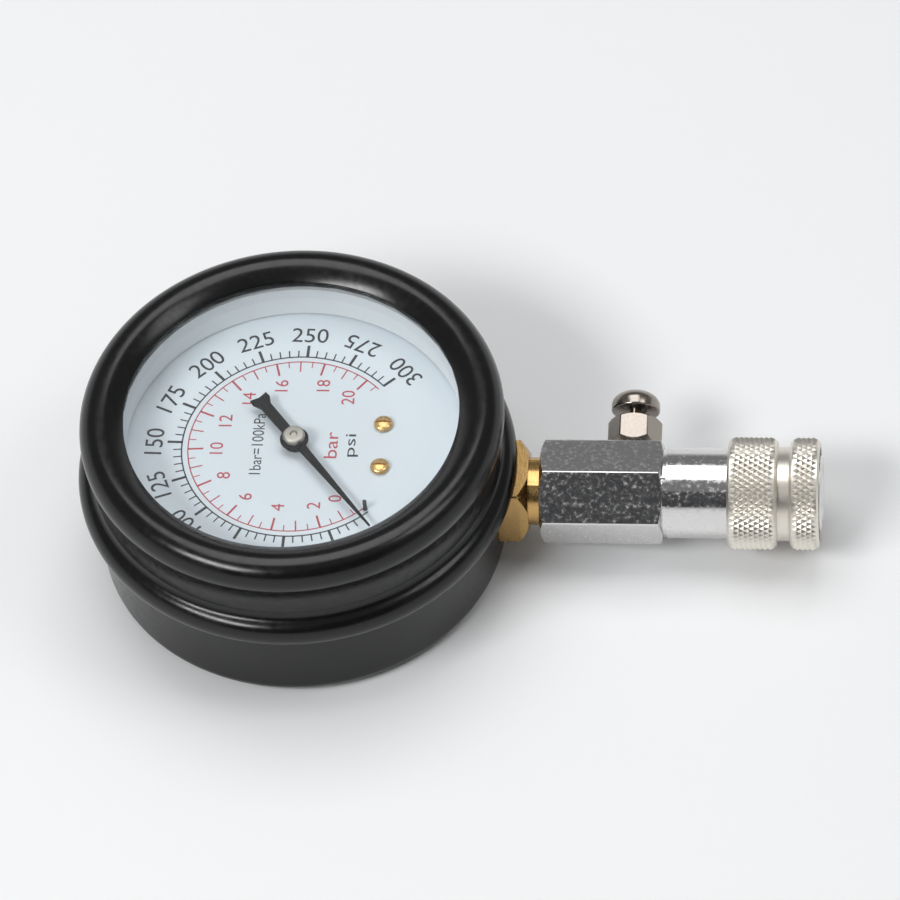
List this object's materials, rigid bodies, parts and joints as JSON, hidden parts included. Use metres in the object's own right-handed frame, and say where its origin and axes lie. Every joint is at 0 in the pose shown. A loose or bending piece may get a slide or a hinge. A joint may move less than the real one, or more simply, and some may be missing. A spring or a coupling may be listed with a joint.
{
  "type": "compression tester gauge",
  "caption": "Round pressure gauge in a rubber boot, with a hexagon coupler body, a side release valve and a knurled quick-connect sleeve on its stem.",
  "frame": {"origin": "on the dial's axis, at the flat back of the rubber boot", "axes": "+Z out of the dial, +X along the stem towards the quick coupler"},
  "size_m": [0.1407, 0.0832, 0.0385],
  "materials": {
    "rubber": "moulded rubber, semi-gloss",
    "sheet_steel": "plated sheet steel",
    "black_steel": "black paint",
    "clear_plastic": "clear moulded plastic",
    "white_plastic": "pale moulded plastic",
    "white_enamel": "white printed enamel",
    "brass": "machined brass",
    "bronze": "drawn phosphor bronze",
    "black_enamel": "black paint",
    "chrome": "bright chrome plate",
    "satin_nickel": "knurled, satin nickel plate",
    "bright_steel": "bright steel",
    "nitrile": "nitrile rubber"
  },
  "bodies": {
    "gauge": {"rubber_boot": "rubber", "case_shell": "sheet_steel", "bezel_ring": "black_steel", "window": "clear_plastic", "window_gasket": "nitrile", "spacer_ring": "white_plastic", "dial": "white_enamel", "dial_screw_1": "brass", "dial_screw_2": "brass", "dial_post_1": "brass", "dial_post_2": "brass", "stop_pin": "black_steel", "socket_block": "brass", "seal_washer": "bronze", "bourdon_tube": "bronze", "case_screw_1": "bright_steel", "case_screw_2": "bright_steel", "movement_back_plate": "brass", "movement_front_plate": "brass", "plate_pillar_1": "brass", "plate_pillar_2": "brass", "plate_pillar_3": "brass", "movement_screw_1": "bright_steel", "movement_screw_2": "bright_steel", "hairspring": "bronze", "hairspring_stud": "brass", "coupler_body": "chrome", "coupler_seal": "nitrile", "sleeve_spring": "bright_steel", "snap_ring": "bright_steel", "release_housing": "chrome", "release_spring": "bright_steel"},
    "sector": {"sector_gear": "brass", "sector_arbor": "bright_steel", "tail_pin": "bright_steel"},
    "pointer": {"pinion_arbor": "bright_steel", "hairspring_collet": "brass", "pointer": "black_enamel", "pointer_cap": "bright_steel"},
    "tube_end": {"tube_tip": "brass", "tip_pin": "bright_steel"},
    "link": {"link": "brass"},
    "release_button": {"release_button": "chrome", "release_poppet": "brass", "release_seal": "nitrile"},
    "sleeve": {"coupler_sleeve": "satin_nickel"},
    "ball_1": {"locking_ball_1": "bright_steel"},
    "ball_2": {"locking_ball_2": "bright_steel"},
    "ball_3": {"locking_ball_3": "bright_steel"},
    "ball_4": {"locking_ball_4": "bright_steel"}
  },
  "joints": [
    {"name": "sector_swing", "type": "hinge", "parent": "gauge", "child": "sector", "pos_m": [0.00964, 0.01376, 0.0176], "axis": [0, 0, 1], "range_deg": [0, 45], "stiffness_Nm_per_rad": 0.005, "springref_deg": -2.86},
    {"name": "pointer_turn", "type": "hinge", "parent": "gauge", "child": "pointer", "pos_m": [0, 0, 0.0279], "axis": [0, 0, 1], "range_deg": [-270, 0], "deforming": ["hairspring"]},
    {"name": "tube_end_swing", "type": "hinge", "parent": "gauge", "child": "tube_end", "pos_m": [-0.00641, -0.00724, 0.0133], "axis": [0, 0, 1], "range_deg": [0, 7.4], "deforming": ["bourdon_tube"]},
    {"name": "link_pivot", "type": "hinge", "parent": "tube_end", "child": "link", "pos_m": [-0.00354, 0.02009, 0.0164], "axis": [0, 0, 1], "range_deg": [-4.65, 0]},
    {"name": "release_press", "type": "slide", "parent": "gauge", "child": "release_button", "axis": [0, -0.9613, -0.2756], "range_m": [0, 0.0015], "stiffness_N_per_m": 500, "springref_m": -0.002, "deforming": ["release_spring"]},
    {"name": "sleeve_pull", "type": "slide", "parent": "gauge", "child": "sleeve", "axis": [-1, 0, 0], "range_m": [0, 0.003], "stiffness_N_per_m": 600, "springref_m": -0.002, "deforming": ["sleeve_spring"]},
    {"name": "ball_1_lift", "type": "slide", "parent": "gauge", "child": "ball_1", "axis": [0, 0, 1], "range_m": [0, 0.0006]},
    {"name": "ball_2_lift", "type": "slide", "parent": "gauge", "child": "ball_2", "axis": [0, -1, 0], "range_m": [0, 0.0006]},
    {"name": "ball_3_lift", "type": "slide", "parent": "gauge", "child": "ball_3", "axis": [0, 0, -1], "range_m": [0, 0.0006]},
    {"name": "ball_4_lift", "type": "slide", "parent": "gauge", "child": "ball_4", "axis": [0, 1, 0], "range_m": [0, 0.0006]}
  ],
  "couplings": [
    {"joint": "pointer_turn", "follows": "sector_swing", "ratio": -6},
    {"joint": "tube_end_swing", "follows": "sector_swing", "ratio": 0.163},
    {"joint": "link_pivot", "follows": "sector_swing", "ratio": -0.102},
    {"joint": "ball_1_lift", "follows": "sleeve_pull", "ratio": 0.2},
    {"joint": "ball_2_lift", "follows": "sleeve_pull", "ratio": 0.2},
    {"joint": "ball_3_lift", "follows": "sleeve_pull", "ratio": 0.2},
    {"joint": "ball_4_lift", "follows": "sleeve_pull", "ratio": 0.2}
  ]
}
